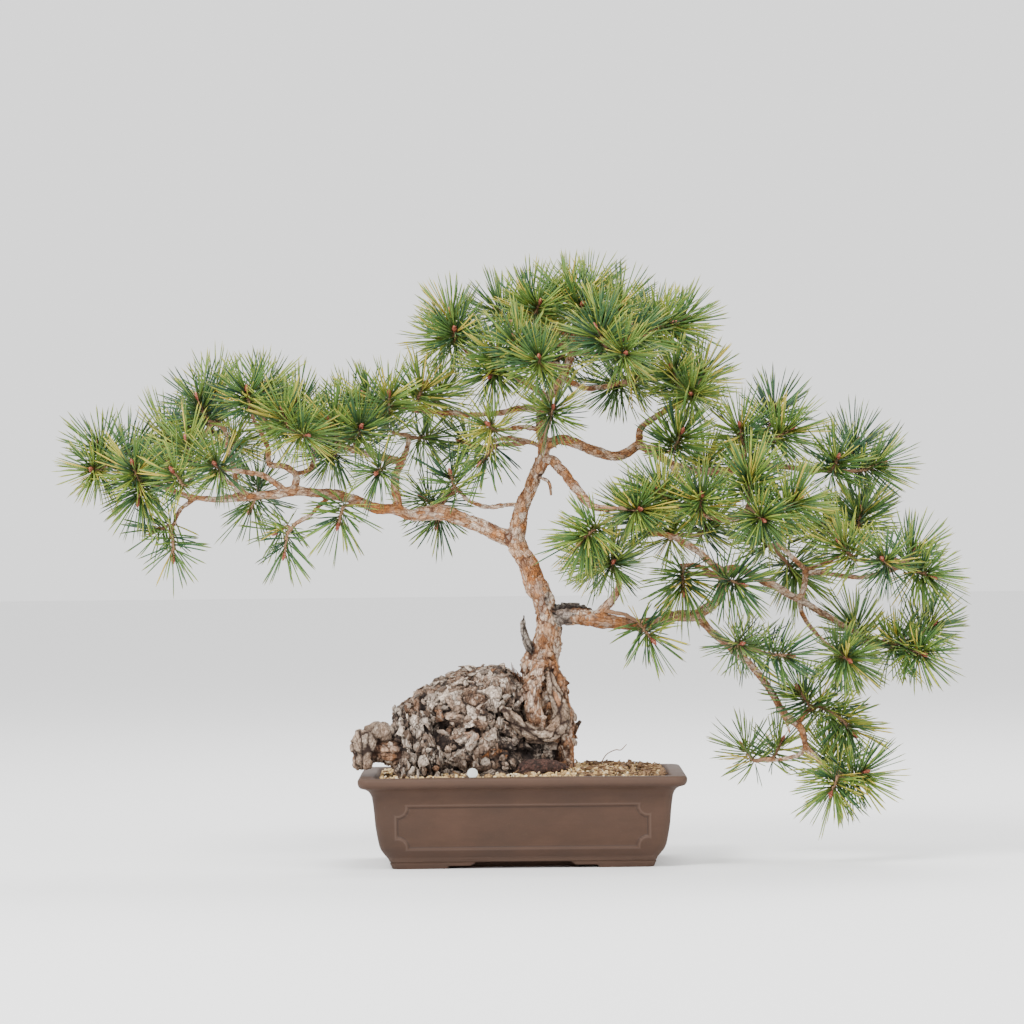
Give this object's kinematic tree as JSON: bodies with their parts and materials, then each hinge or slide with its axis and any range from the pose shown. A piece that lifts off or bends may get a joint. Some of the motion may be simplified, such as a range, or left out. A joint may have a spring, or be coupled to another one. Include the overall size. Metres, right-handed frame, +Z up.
{
  "type": "bonsai tree",
  "caption": "Scots pine bonsai with a swollen stump, a leaning trunk and wide layered branches of paired needles, growing in grit in an unglazed rectangular footed pot.",
  "frame": {"origin": "on the ground, under the middle of the pot", "axes": "+Z up, +X to the right along the pot's length as seen from the tree's front, +Y to its back"},
  "size_m": [0.8015, 0.3038, 0.542],
  "materials": {
    "clay": "matte",
    "grit": "matte",
    "tag": "matte",
    "bark": "matte",
    "netting": "matte",
    "needles": "satin"
  },
  "bodies": {
    "root": {"pot": "clay", "drainage_net_left": "netting", "drainage_net_right": "netting", "soil": "grit", "tag": "tag", "tree_wood": "bark", "needles_left_tip": "needles", "needles_left_tip_front": "needles", "needles_left_tip_back": "needles", "needles_left_low_front": "needles", "needles_left_rise": "needles", "needles_left_hang": "needles", "needles_left_under": "needles", "needles_left_fork": "needles", "needles_left_inner": "needles", "needles_left_drop": "needles", "needles_left_cross": "needles", "needles_left_upper_tip": "needles", "needles_left_upper": "needles", "needles_left_below": "needles", "needles_left_star": "needles", "needles_left_back": "needles", "needles_left_high": "needles", "needles_left_mid": "needles", "needles_left_shade": "needles", "needles_left_near": "needles", "needles_crown_far_left": "needles", "needles_crown_left": "needles", "needles_crown_front": "needles", "needles_crown_top_left": "needles", "needles_crown_top": "needles", "needles_crown_right": "needles", "needles_crown_right_top": "needles", "needles_crown_far_right": "needles", "needles_crown_trunk": "needles", "needles_crown_low": "needles", "needles_crown_back": "needles", "needles_right_rise": "needles", "needles_right_bud": "needles", "needles_right_spine_back": "needles", "needles_right_peak": "needles", "needles_right_spine_tip": "needles", "needles_right_shelf_left": "needles", "needles_right_shelf": "needles", "needles_right_front": "needles", "needles_right_outer": "needles", "needles_right_edge": "needles", "needles_right_inner": "needles", "needles_right_hang": "needles", "needles_right_behind": "needles", "needles_right_below": "needles", "needles_right_turn": "needles", "needles_right_main_tip": "needles", "needles_right_down": "needles", "needles_cascade_high": "needles", "needles_cascade_out": "needles", "needles_cascade_tip": "needles", "needles_cascade_in": "needles"}
  },
  "joints": []
}
